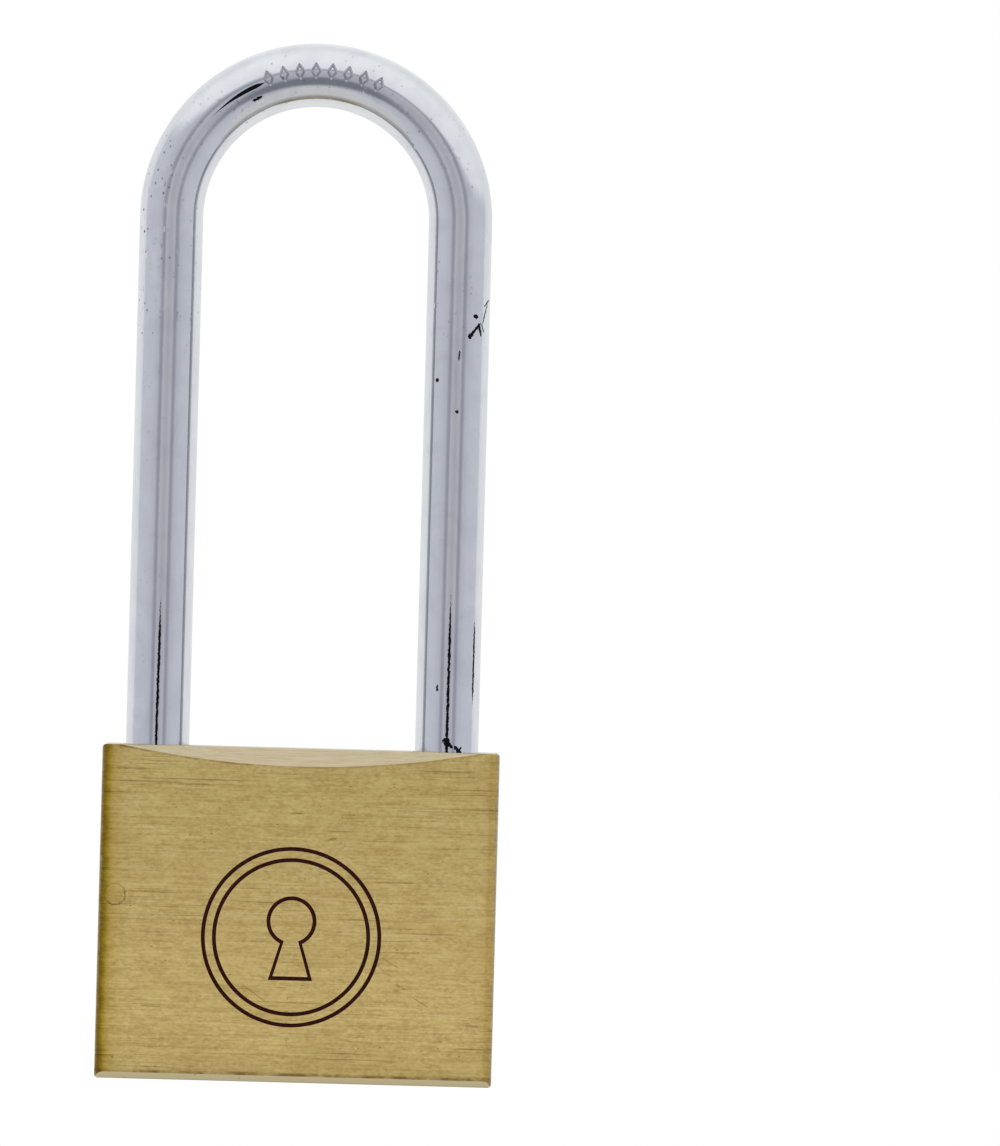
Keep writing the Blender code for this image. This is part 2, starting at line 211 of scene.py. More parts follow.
def mark_line(shader, start, end, half):
    """1 on a thin ragged line on the front from start to end, (x, z) points, tapering at its ends."""
    run = (end - start).normalized()
    from_x = shader.math("SUBTRACT", shader.axis("X"), start.x)
    from_z = shader.math("SUBTRACT", shader.axis("Z"), start.y)
    along = shader.math("ADD", shader.times(from_x, run.x), shader.times(from_z, run.y))
    aside = shader.math("SUBTRACT", shader.times(from_z, run.x), shader.times(from_x, run.y))
    unevenness = shader.noise((2600, 2600, 2600), 3.0, 0.7)
    wobble = shader.spread(unevenness, 0.25, 0.75, -MARK_RAGGED * half, MARK_RAGGED * half)
    width = shader.math("ABSOLUTE", shader.math("ADD", aside, wobble))
    share = shader.math("DIVIDE", along, (end - start).length)
    swell = shader.times(shader.spread(share, 0.0, 0.25), shader.spread(share, 0.75, 1.0, 1.0, 0.0))
    inside = shader.math("LESS_THAN", width, shader.math("MULTIPLY", swell, half))
    return shader.times(inside, on_front(shader))


def mark_lines(shader, origin, marks):
    """All the ragged lines in marks: (start, end, half width) in millimetres from origin."""
    drawn = 0.0
    for start, end, half in marks:
        line = mark_line(shader, origin + Vector(start) * MM, origin + Vector(end) * MM, half * MM)
        drawn = shader.math("MAXIMUM", drawn, line)
    return drawn


def darkest(shader, *layers):
    most = layers[0]
    for layer in layers[1:]:
        most = shader.math("MAXIMUM", most, layer)
    return most


# ---------------------------------------------------------------- materials

WHITE = (1.0, 1.0, 1.0)
BRASS_DARK = (0.42, 0.287, 0.083)
BRASS_MID = (0.560, 0.408, 0.147)
BRASS_LIGHT = (0.80, 0.61, 0.25)
BRASS_CLOUD = (0.50, 0.33, 0.10)
BRASS_BLOTCH = (0.70, 0.56, 0.20)
BRASS_GLINT = (0.82, 0.66, 0.33)
# Tarnish, also used for the painted shade along the scallop's lower edge
BRASS_TARNISH_AND_PAINTED_SHADE = (0.12, 0.06, 0.012)
MILLED_DARK = (0.40, 0.328, 0.208)
MILLED_LIGHT = (0.48, 0.402, 0.262)
MILLED_CLOUD = (0.35, 0.28, 0.15)
MILLED_BASE_EDGE = (0.77, 0.66, 0.40)
INK_BROWN = (0.028, 0.005, 0.004)
INK_LIGHT = (0.045, 0.010, 0.008)
CHROME_BRIGHT = (0.52, 0.527, 0.54)
CHROME_CLOUD = (0.478, 0.486, 0.503)
CHROME_BLOOM = (0.60, 0.60, 0.59)
# Dark of the plate's pits and of its painted reflections
CHROME_PITS_AND_PAINTED_REFLECTIONS = (0.008, 0.008, 0.012)

# The darker, browner band along the left edge, as (share of its width, multiplier)
LEFT_EDGE_DARKENING = [
    (0.02, (0.40, 0.36, 0.30)),
    (0.08, (0.29, 0.25, 0.11)),
    (0.14, (0.33, 0.285, 0.07)),
    (0.20, (0.45, 0.40, 0.08)),
    (0.27, (0.66, 0.61, 0.20)),
    (0.33, (0.79, 0.72, 0.48)),
    (0.39, (0.855, 0.795, 0.60)),
    (0.46, (0.89, 0.85, 0.67)),
    (0.70, (0.96, 0.95, 0.90)),
    (1.0, WHITE),
]
# Painted shade, narrower and grey-blue, along the right edge
RIGHT_EDGE_PAINTED_SHADE = [
    (0.04, (0.52, 0.54, 0.74)),
    (0.10, (0.50, 0.50, 0.62)),
    (0.16, (0.62, 0.62, 0.66)),
    (0.22, (0.71, 0.67, 0.60)),
    (0.30, (0.74, 0.69, 0.56)),
    (0.47, (0.86, 0.80, 0.66)),
    (0.66, (0.97, 0.94, 0.88)),
    (1.0, WHITE),
]
# Handling marks: (x, z) of the start and the end, and half the width, in millimetres
BLOCK_MARKS = [
    ((9.1, 15.9), (12.4, 13.4), 0.09),
    ((10.2, 16.4), (13.4, 14.5), 0.06),
    ((12.5, 12.8), (14.1, 12.0), 0.16),
    ((12.3, 12.0), (13.5, 11.7), 0.14),
    ((14.3, 11.4), (17.2, 9.7), 0.06),
    ((-7.0, 12.4), (-3.2, 9.8), 0.07),
    ((16.8, 5.2), (20.6, 6.3), 0.06),
    ((18.7, 12.0), (19.4, 12.4), 0.2),
    ((4.3, 33.7), (7.4, 33.9), 0.13),
    ((-2.6, 33.8), (0.6, 33.9), 0.12),
    ((3.4, 30.5), (4.9, 30.9), 0.16),
    ((-20.8, 37.1), (-9.0, 37.3), 0.08),
    ((-23.0, 32.9), (-14.5, 33.0), 0.08),
    ((20.4, 7.9), (24.6, 7.5), 0.2),
    ((21.6, 8.7), (24.9, 8.5), 0.14),
]
# Painted dark reflections on the shackle, listed the same way, from the middle of its crown's arc or the
# point where a leg leaves the block
CROWN_PAINTED_REFLECTIONS = [
    ((-8.49, 14.6), (-7.03, 15.4), 0.17),
]
LEFT_LEG_PAINTED_REFLECTIONS = [
    ((-0.16, -8.0), (0.0, 19.6), 0.17),
]
RIGHT_LEG_PAINTED_REFLECTIONS = [
    ((0.0, -8.0), (0.04, 21.2), 0.17),
    ((3.1, 5.5), (3.12, 17.5), 0.1),
    ((0.2, 49.3), (0.36, 50.8), 0.1),
    ((0.2, 42.7), (0.2, 43.2), 0.2),
    ((-2.48, 46.6), (-2.4, 47.2), 0.17),
    ((-1.4, 7.6), (-1.36, 8.6), 0.14),
    ((1.36, 52.2), (2.0, 53.0), 0.28),
    ((1.6, 52.5), (2.96, 54.4), 0.17),
    ((2.56, 54.3), (3.0, 52.4), 0.13),
    ((2.96, 54.2), (3.36, 52.9), 0.06),
    ((1.88, 55.2), (2.6, 54.9), 0.26),
    ((3.04, 53.8), (3.72, 57.0), 0.06),
    ((3.2, 56.2), (3.88, 57.3), 0.08),
    ((-0.24, 1.9), (0.16, 0.7), 0.42),
    ((0.0, 1.5), (0.8, 0.5), 0.22),
    ((0.88, 0.9), (2.0, -0.3), 0.24),
    ((1.2, -0.1), (1.92, 0.8), 0.12),
]
MARK_RAGGED = 0.45


def edge_darkening_and_painted_shade(shader, low, high):
    """Multiplier that darkens the block along its upright edges and fades on its side faces: a browner
    band on the left, painted grey-blue shade on the right.
    """
    wave = shader.spread(shader.noise((60, 60, 520), 3.0), 0.3, 0.7, -0.14 * MM, 0.14 * MM)
    place = shader.math("ADD", shader.axis("X"), wave)
    from_left = shader.spread(place, low.x, low.x + EDGE_BAND_WIDTH, shape="LINEAR")
    from_right = shader.spread(place, high.x - 0.5 * EDGE_BAND_WIDTH, high.x, 1.0, 0.0, shape="LINEAR")
    left = shader.ramp(from_left, LEFT_EDGE_DARKENING)
    # The right edge's grey-blue band is painted shade.
    right = shader.ramp(from_right, RIGHT_EDGE_PAINTED_SHADE)
    outward = shader.math("ABSOLUTE", shader.axis("Y"))
    face = high.y - 0.9 * MM
    left = shader.mix(shader.spread(outward, high.y - 2.6 * MM, face, 0.4, 1.0), WHITE, left)
    right = shader.mix(shader.spread(outward, high.y - 1.8 * MM, face, 0.1, 1.0), WHITE, right)
    return shader.mix(1.0, left, right, "MULTIPLY")


def pin_rim(shader):
    """Dirt round the shackle's retaining pin, mostly at its lower right."""
    centre = middle_of("shackle_retaining_pin")
    across = shader.math("SUBTRACT", shader.axis("X"), centre.x)
    up = shader.math("SUBTRACT", shader.axis("Z"), centre.z)
    wobble = shader.noise((1500, 1500, 2400), 3.0, 0.7)
    ragged = shader.spread(wobble, 0.3, 0.7, -0.15 * MM, 0.15 * MM)
    distance = shader.math("ADD", shader.distance(across, up), ragged)
    radius = half_size("shackle_retaining_pin").x
    ring = band(shader, distance, radius + 0.05 * MM, 0.07 * MM, 0.1 * MM)
    corner = shader.math("SUBTRACT", up, shader.times(across, 0.8))
    below = shader.spread(corner, -1.5 * MM, 1.0 * MM, 1.0, 0.0)
    crumbs = shader.noise((1900, 1900, 1900), 3.0, 0.7, 0.0, (3, 3, 8))
    return shader.times(ring, below, shader.spread(crumbs, 0.4, 0.5, 0.2, 1.0))


def brushed_brass(grain, name):
    """Brass with long fine scratches. grain is how fast the scratch pattern varies along X, Y and Z."""
    low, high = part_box("lock_body")
    shader = Shader(bpy.data.materials.new(name))
    shader.set(Metallic=1.0)
    coarse = (grain[0] * 0.6, grain[1] * 0.6, grain[2] * 0.36)
    short = (grain[0] * 9.0, grain[1] * 9.0, grain[2] * 0.9)
    fine = shader.noise(grain, 5.0, 0.8)
    nicks = shader.noise(short, 2.0, 0.6, 0.0, (6.3, 2.7, 4.1))
    broad = shader.noise(coarse, 3.0, 0.6, 0.0, (3.1, 0.7, 1.9))
    grit = shader.noise((1700, 1700, 2900), 3.0, 0.6, 0.3, (7, 2, 5))
    cloud = shader.noise((130, 130, 210), 4.0, 0.6, 0.5)
    blotch = shader.noise((420, 420, 700), 3.0, 0.6, 0.3, (5, 4, 2))
    scratch = shader.math("ADD", shader.times(fine, 0.34), shader.times(nicks, 0.22))
    scratch = shader.math("ADD", scratch, shader.times(broad, 0.16))
    scratch = shader.math("ADD", scratch, shader.times(grit, 0.28))
    colour = shader.mix(shader.spread(scratch, 0.38, 0.62), BRASS_DARK, BRASS_LIGHT)
    colour = shader.mix(0.38, colour, BRASS_MID)
    colour = shader.mix(shader.spread(cloud, 0.42, 0.7, 0.0, 0.32), colour, BRASS_CLOUD)
    colour = shader.mix(shader.spread(blotch, 0.46, 0.68, 0.0, 0.34), colour, BRASS_BLOTCH)
    lines = shader.noise((grain[0] * 0.42, grain[1] * 0.42, grain[2] * 1.45), 2.0, 0.5, 0.0, (9, 3, 4))
    light_lines = shader.times(shader.spread(lines, 0.32, 0.38, 1.0, 0.0), 0.3)
    colour = shader.mix(light_lines, colour, BRASS_GLINT)
    patch = shader.spread(shader.noise((85, 85, 120), 2.0, 0.5, 0.0, (1, 6, 2)), 0.44, 0.6, 0.2, 1.0)
    dark_lines = shader.times(shader.spread(lines, 0.60, 0.66), patch, 0.42)
    pits = shader.times(specks(shader, (1100, 1100, 2300), 0.19, 0.07), 0.75)
    x = shader.axis("X")
    z = shader.axis("Z")
    # A dark line along the scallop's lower edge, strongest at the left, is painted shade.
    rise = shader.math("MULTIPLY", shader.times(x, x), SCALLOP_DROP / SCALLOP_HALF_WIDTH**2)
    rim = shader.math("SUBTRACT", z, shader.math("ADD", rise, high.z - SCALLOP_DROP - 0.12 * MM))
    leftward = shader.spread(x, -15 * MM, 4 * MM, 0.85, 0.35)
    rim_painted_shade = shader.times(band(shader, rim, 0.0, 0.05 * MM, 0.18 * MM), leftward)
    foot_dirt = shader.times(band(shader, z, low.z + 0.95 * MM, 0.06 * MM, 0.3 * MM), 0.95)
    broken = shader.spread(shader.noise((420, 420, 420), 4.0, 0.65), 0.38, 0.62, 0.25, 1.0)
    painted_rim_shade_and_foot_dirt = shader.times(shader.math("MAXIMUM", rim_painted_shade, foot_dirt), broken, 0.75)
    scored = shader.times(mark_lines(shader, Vector((0, 0)), BLOCK_MARKS), broken, 0.5)
    dirt_and_painted_darkening = darkest(shader, dark_lines, pits, painted_rim_shade_and_foot_dirt, scored, shader.times(pin_rim(shader), 0.7))
    # The tarnish colour darkens real marks and also the painted shade along the scallop's edge.
    colour = shader.mix(dirt_and_painted_darkening, colour, BRASS_TARNISH_AND_PAINTED_SHADE)
    # Darkens the left edge and paints grey-blue shade along the right edge.
    colour = shader.mix(1.0, colour, edge_darkening_and_painted_shade(shader, low, high), "MULTIPLY")
    rough = shader.math("ADD", shader.spread(scratch, 0.3, 0.7, 0.42, 0.3), shader.times(dirt_and_painted_darkening, 0.15))
    shader.set(Base_Color=colour, Roughness=rough, Anisotropic=0.4)
    shader.bump(shader.math("SUBTRACT", scratch, shader.times(dirt_and_painted_darkening, 1.2)), 0.012 * MM)
    return shader.owner


def milled_brass():
    """The cutter's finish on the hollowed top edges, the chamfers and the ends."""
    shader = Shader(bpy.data.materials.new("milled_brass"))
    shader.set(Metallic=1.0)
    fine = shader.noise((170, 6000, 6000), 3.0, 0.6)
    cloud = shader.noise((160, 160, 160), 3.0, 0.6, 0.5)
    colour = shader.mix(shader.spread(fine, 0.3, 0.7), MILLED_DARK, MILLED_LIGHT)
    colour = shader.mix(shader.spread(cloud, 0.5, 0.8, 0.0, 0.3), colour, MILLED_CLOUD)
    z = shader.axis("Z")
    base_edge = shader.times(
        shader.spread(z, 0.0, 0.12 * MM),
        shader.spread(z, BASE_CHAMFER + 0.05 * MM, BASE_CHAMFER + 0.3 * MM, 1.0, 0.0),
    )
    colour = shader.mix(base_edge, colour, MILLED_BASE_EDGE)
    pits = specks(shader, (900, 1500, 1500), 0.18, 0.08)
    colour = shader.mix(shader.times(pits, 0.45), colour, BRASS_TARNISH_AND_PAINTED_SHADE)
    shader.set(Base_Color=colour, Roughness=shader.spread(fine, 0.3, 0.7, 0.38, 0.28))
    shader.bump(fine, 0.006 * MM)
    return shader.owner


def turned_metal(name, dark, light, roughness):
    """A lathe's rings and small stains, for the small internal pieces and the bores."""
    shader = Shader(bpy.data.materials.new(name))
    shader.set(Metallic=1.0)
    rings = shader.noise((5200, 5200, 5200), 2.0)
    cloud = shader.noise((420, 420, 420), 3.0, 0.6, 0.4, (2, 5, 1))
    shade = shader.math("ADD", shader.times(rings, 0.45), shader.times(cloud, 0.55))
    shader.set(
        Base_Color=shader.mix(shader.spread(shade, 0.35, 0.65), dark, light),
        Roughness=shader.spread(shade, 0.35, 0.65, roughness + 0.08, roughness - 0.04),
    )
    shader.bump(rings, 0.004 * MM)
    return shader.owner


def engraved_ink():
    """Oxidised lacquer in the engraved lines."""
    shader = Shader(bpy.data.materials.new("engraved_oxide"))
    cloud = shader.noise((2400, 2400, 2400), 3.0)
    colour = shader.mix(shader.spread(cloud, 0.35, 0.7), INK_BROWN, INK_LIGHT)
    shader.set(Base_Color=colour, Roughness=shader.spread(cloud, 0.3, 0.7, 0.7, 0.5), Metallic=0.0)
    shader.set(Specular_IOR_Level=0.05)
    shader.bump(cloud, 0.02 * MM)
    return shader.owner


def chrome_painted_reflections(shader):
    """Painted dark reflections: streaks low on the legs, smears, and a dark crescent on the crown's inner
    left side.
    """
    leg_x, radius, crown_z = shackle_sizes()
    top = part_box("lock_body")[1].z
    # Ragged lines of painted dark reflection on the crown and both legs.
    marks = darkest(
        shader,
        mark_lines(shader, Vector((0, crown_z)), CROWN_PAINTED_REFLECTIONS),
        mark_lines(shader, Vector((-leg_x, top)), LEFT_LEG_PAINTED_REFLECTIONS),
        mark_lines(shader, Vector((leg_x, top)), RIGHT_LEG_PAINTED_REFLECTIONS),
    )
    x = shader.axis("X")
    z = shader.math("SUBTRACT", shader.axis("Z"), crown_z)
    distance = shader.distance(x, z)
    bearing = shader.math("ARCTAN2", z, x)
    # The crescent on the crown is a painted dark reflection.
    swell = shader.times(
        shader.spread(bearing, math.radians(111), math.radians(116)),
        shader.spread(bearing, math.radians(118), math.radians(139), 1.0, 0.0),
    )
    aside = shader.math("ABSOLUTE", shader.math("SUBTRACT", distance, leg_x + 0.03 * radius))
    crescent = shader.math("LESS_THAN", aside, shader.math("MULTIPLY", swell, 0.26 * MM))
    return darkest(shader, marks, shader.times(crescent, on_front(shader)))


def chrome_plate():
    """Bright plate over a drawn bar: faint draw lines, pin-prick pits and painted dark reflections."""
    leg_x, radius, crown_z = shackle_sizes()
    shader = Shader(bpy.data.materials.new("chrome_plate"))
    shader.set(Metallic=1.0)
    draw = shader.noise((900, 900, 120), 3.0, 0.6)
    cloud = shader.noise((260, 260, 170), 4.0, 0.6, 0.8)
    colour = shader.mix(shader.spread(cloud, 0.4, 0.7), CHROME_BRIGHT, CHROME_CLOUD)
    worn = shader.spread(shader.axis("X"), -leg_x - 0.2 * radius, -leg_x + 0.2 * radius, 1.0, 0.35)
    height = shader.math("SUBTRACT", shader.axis("Z"), crown_z)
    worn = shader.times(worn, shader.spread(height, -20 * MM, -10 * MM, 0.15, 1.0))
    rash = shader.spread(shader.noise((150, 150, 110), 3.0, 0.6), 0.38, 0.52)
    dots = shader.times(specks(shader, (1150, 1150, 950), 0.22, 0.5), worn, rash, 0.6)
    pits = shader.times(specks(shader, (700, 700, 600), 0.14, 0.34, (4, 1, 8)), worn, 0.9)
    blisters = shader.times(specks(shader, (800, 800, 560), 0.34, 0.6, (2, 9, 6)), worn, rash)
    haze = shader.noise((420, 420, 330), 4.0, 0.7, 0.4, (2, 8, 3))
    bloom = shader.times(shader.spread(haze, 0.52, 0.66), worn, 0.35)
    colour = shader.mix(bloom, colour, CHROME_BLOOM)
    dirt_and_painted_darkening = darkest(shader, pits, dots, chrome_painted_reflections(shader))
    # Pits, dots and painted dark reflections darken the plate.
    colour = shader.mix(dirt_and_painted_darkening, colour, CHROME_PITS_AND_PAINTED_REFLECTIONS)
    rough = shader.math("ADD", shader.spread(draw, 0.3, 0.7, 0.07, 0.12), shader.times(dirt_and_painted_darkening, 0.4))
    shader.set(Base_Color=colour, Roughness=rough)
    relief = shader.math("SUBTRACT", shader.times(draw, 0.3), dirt_and_painted_darkening)
    shader.bump(shader.math("ADD", relief, shader.times(blisters, 5.0)), 0.005 * MM)
    return shader.owner


# ---------------------------------------------------------------- mesh building


def object_of(name, shape, *materials):
    mesh = bpy.data.meshes.new(name)
    shape.to_mesh(mesh)
    shape.free()
    for material in materials:
        mesh.materials.append(material)
    mesh.shade_smooth()
    mesh.set_sharp_from_angle(angle=SMOOTH_BELOW)
    obj = bpy.data.objects.new(name, mesh)
    bpy.context.scene.collection.objects.link(obj)
    return obj


def add_rings(shape, rings):
    """Closed rings of vertices joined in order by quads and capped at both ends."""
    made = [[shape.verts.new(point) for point in ring] for ring in rings]
    count = len(made[0])
    for lower, upper in zip(made, made[1:]):
        for index in range(count):
            after = (index + 1) % count
            shape.faces.new((lower[index], lower[after], upper[after], upper[index]))
    shape.faces.new(list(reversed(made[0])))
    shape.faces.new(made[-1])


def circle(radius, sides):
    return [
        (radius * math.cos(2 * math.pi * index / sides), radius * math.sin(2 * math.pi * index / sides))
        for index in range(sides)
    ]


def lathe_shape(profile, base, axis, sides):
    """A solid of revolution. profile lists (distance from base along axis, radius)."""
    turn = Vector(axis).to_track_quat("Z", "Y")
    shape = bmesh.new()
    rings = []
    for along, radius in profile:
        rings.append([Vector(base) + turn @ Vector((x, y, along)) for x, y in circle(radius, sides)])
    add_rings(shape, rings)
    return shape


def lathe(name, profile, base, axis, material, sides=64):
    return object_of(name, lathe_shape(profile, base, axis, sides), material)


def block_shape(low, high):
    shape = bmesh.new()
    bmesh.ops.create_cube(shape, size=1.0)
    bmesh.ops.scale(shape, vec=Vector(high) - Vector(low), verts=shape.verts)
    bmesh.ops.translate(shape, vec=(Vector(high) + Vector(low)) / 2, verts=shape.verts)
    return shape


def carve(target, shape, slot_index=0, operation="DIFFERENCE"):
    """Cuts shape out of target for good. The new faces take the target's material slot_index."""
    for face in shape.faces:
        face.material_index = slot_index
    cutter = object_of("cutter", shape, *target.data.materials)
    modifier = target.modifiers.new("carve", "BOOLEAN")
    modifier.operation = operation
    modifier.object = cutter
    settle(target)
    bpy.data.objects.remove(cutter, do_unlink=True)


def settle(target):
    """Applies the modifiers of target."""
    graph = bpy.context.evaluated_depsgraph_get()
    mesh = bpy.data.meshes.new_from_object(target.evaluated_get(graph))
    target.modifiers.clear()
    target.data = mesh


def soften(target, width, segments=2, angle=35):
    """Rounds every edge that is sharper than angle, for good."""
    bevel = target.modifiers.new("soften", "BEVEL")
    bevel.width = width
    bevel.segments = segments
    bevel.limit_method = "ANGLE"
    bevel.angle_limit = math.radians(angle)
    bevel.miter_outer = "MITER_ARC"
    settle(target)


def finish_shading(target):
    target.data.shade_smooth()
    target.data.set_sharp_from_angle(angle=SMOOTH_BELOW)
    weighted = target.modifiers.new("flat_faces", "WEIGHTED_NORMAL")
    weighted.keep_sharp = True


def place(obj, node, body, slot_name):
    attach(obj, body)
    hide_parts(node)


# ---------------------------------------------------------------- block

HAIRLINE = 0.03 * MM
PAST = 1.0 * MM
SIDE_ROUND = 1.2 * MM
CORNER_ROUND = 0.5 * MM
CORNER_STEPS = 8
SCALLOP_DROP = 2.2 * MM
SCALLOP_HALF_WIDTH = 22.5 * MM
SCALLOP_LENGTH = 12.0 * MM
SCALLOP_SIDES = 1600
BLOCK_EDGE = 0.1 * MM
LEG_CLEARANCE = 0.3 * MM
PLUG_CLEARANCE = 0.13 * MM
PLUG_END_CLEARANCE = 0.3 * MM
CAM_CLEARANCE = 0.3 * MM
BOLT_CLEARANCE = 0.25 * MM
PIN_END_CLEARANCE = 0.1 * MM
TOE_HOLE_FLOOR = 29.5 * MM
HEEL_HOLE_FLOOR = 2.0 * MM
CAM_BORE_TOP = 35.2 * MM
BOLT_BORE_END = -10.8 * MM
CHAMBER_END = 5.5 * MM
EMBLEM_CENTRE = Vector((-0.65 * MM, 0.0, 18.3 * MM))
EMBLEM_RADIUS = 11.1 * MM
EMBLEM_INNER_RADIUS = 9.7 * MM
EMBLEM_LINE = 0.5 * MM
EMBLEM_DEPTH = 0.16 * MM
EMBLEM_SIDES = 160
KEYHOLE_HEAD_RADIUS = 2.9 * MM
KEYHOLE_HEAD_Z = 2.0 * MM
KEYHOLE_NECK_HALF = 1.15 * MM
KEYHOLE_FOOT_Z = -5.2 * MM
KEYHOLE_FOOT_HALF = 2.5 * MM
KEYHOLE_STEPS = 48


def scallop_shape(side):
    """The big wheel that hollows the block's top edge: deepest at the middle, gone near the corners."""
    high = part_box("lock_body")[1]
    hollow = SCALLOP_DROP * math.cos(math.radians(45))
    wheel_radius = (SCALLOP_HALF_WIDTH**2 + hollow**2) / (2 * hollow)
    slope = Vector((0, side, -1)).normalized()
    outward = Vector((0, side, 1)).normalized()
    deepest = Vector((0, side * (high.y - SCALLOP_DROP / 2), high.z - SCALLOP_DROP / 2))
    start = deepest + outward * wheel_radius - slope * SCALLOP_LENGTH / 2
    return lathe_shape([(0, wheel_radius), (SCALLOP_LENGTH, wheel_radius)], start, slope, SCALLOP_SIDES)


def prism_shape(outline, sweep):
    """The solid that a closed outline sweeps through along a straight line."""
    shape = bmesh.new()
    add_rings(shape, [outline, [Vector(point) + Vector(sweep) for point in outline]])
    bmesh.ops.recalc_face_normals(shape, faces=shape.faces)
    return shape


def front_outline():
    """The block seen from the front: a rectangle with slightly rounded corners."""
    low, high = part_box("lock_body")
    corners = [(high.x, high.z, 0), (low.x, high.z, 90), (low.x, low.z, 180), (high.x, low.z, 270)]
    points = []
    for across, up, start in corners:
        centre_x = across - math.copysign(CORNER_ROUND, across)
        centre_z = up - CORNER_ROUND if up > low.z else up + CORNER_ROUND
        for step in range(CORNER_STEPS + 1):
            angle = math.radians(start + 90 * step / CORNER_STEPS)
            x = centre_x + CORNER_ROUND * math.cos(angle)
            z = centre_z + CORNER_ROUND * math.sin(angle)
            points.append((x, low.y - PAST, z))
    return points


def side_outline():
    """The block seen from the side: a rectangle with both long base edges chamfered."""
    low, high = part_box("lock_body")
    corners = [(low.y, high.z + PAST), (low.y, low.z + BASE_CHAMFER), (low.y + BASE_CHAMFER, low.z)]
    corners += [(high.y - BASE_CHAMFER, low.z), (high.y, low.z + BASE_CHAMFER), (high.y, high.z + PAST)]
    return [(low.x - PAST, y, z) for y, z in corners]


def upright_block():
    """The block with its four upright edges rounded, and longer than it is at both ends."""
    low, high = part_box("lock_body")
    beyond = Vector((0, 0, PAST))
    shape = block_shape(low - beyond, high + beyond)
    uprights = [edge for edge in shape.edges if abs(edge.verts[0].co.z - edge.verts[1].co.z) > MM]
    bmesh.ops.bevel(shape, geom=uprights, offset=SIDE_ROUND, segments=10, profile=0.5, affect="EDGES")
    return shape


def build_blank(*materials):
    low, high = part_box("lock_body")
    shape = upright_block()
    for face in shape.faces:
        face.material_index = FACE
    blank = object_of("block_skin", shape, *materials)
    across = (0, high.y - low.y + 2 * PAST, 0)
    along = (high.x - low.x + 2 * PAST, 0, 0)
    carve(blank, prism_shape(front_outline(), across), MILLED, "INTERSECT")
    carve(blank, prism_shape(side_outline(), along), MILLED, "INTERSECT")
    return blank


def keyhole_outline(grow):
    """Points of a keyhole in X and Z about the emblem's centre, grown outwards by grow."""
    head_radius = KEYHOLE_HEAD_RADIUS + grow
    foot_z = KEYHOLE_FOOT_Z - grow
    foot_half = KEYHOLE_FOOT_HALF + grow * 1.2
    start = math.asin((KEYHOLE_NECK_HALF + grow) / head_radius)
    points = []
    for step in range(KEYHOLE_STEPS + 1):
        angle = -math.pi / 2 + start + (2 * math.pi - 2 * start) * step / KEYHOLE_STEPS
        x = head_radius * math.cos(angle)
        z = KEYHOLE_HEAD_Z + head_radius * math.sin(angle)
        points.append((x, z))
    points.append((-foot_half, foot_z))
    points.append((foot_half, foot_z))
    return points


def outline_prism(points, front, depth):
    """The outline, given in X and Z, from just before the front face to depth behind it."""
    shape = bmesh.new()
    rings = []
    for y in (front - PAST, front + depth):
        rings.append([EMBLEM_CENTRE + Vector((x, y, z)) for x, z in points])
    add_rings(shape, rings)
    bmesh.ops.recalc_face_normals(shape, faces=shape.faces)
    return shape


def engrave_line(block, outer_points, inner_points, front):
    """Cuts the line between two outlines."""
    line = object_of("line", outline_prism(outer_points, front, EMBLEM_DEPTH), *block.data.materials)
    carve(line, outline_prism(inner_points, front - PAST, EMBLEM_DEPTH + 3 * PAST))
    shape = bmesh.new()
    shape.from_mesh(line.data)
    bpy.data.objects.remove(line, do_unlink=True)
    carve(block, shape, INK)


def engrave_emblem(block):
    """A plain double ring round a keyhole."""
    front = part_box("lock_body")[0].y
    half = EMBLEM_LINE / 2
    for radius in (EMBLEM_RADIUS, EMBLEM_INNER_RADIUS):
        outer = circle(radius + half, EMBLEM_SIDES)
        inner = circle(radius - half, EMBLEM_SIDES)
        engrave_line(block, outer, inner, front)
    engrave_line(block, keyhole_outline(half), keyhole_outline(-half), front)


def bore(block, node, axis, start, end, gap=HAIRLINE):
    """A round hole for a round node, along X or Y, at the node's own place."""
    radius = half_size(node).z + gap
    direction = Vector((1, 0, 0)) if axis == "X" else Vector((0, 1, 0))
    base = middle_of(node)
    base["XYZ".index(axis)] = start
    carve(block, lathe_shape([(0, radius), (end - start, radius)], base, direction, 64), BORE)


def bore_up(block, x, radius, bottom, top):
    profile = [(0, radius), (top - bottom, radius)]
    carve(block, lathe_shape(profile, (x, 0, bottom), (0, 0, 1), 96), BORE)


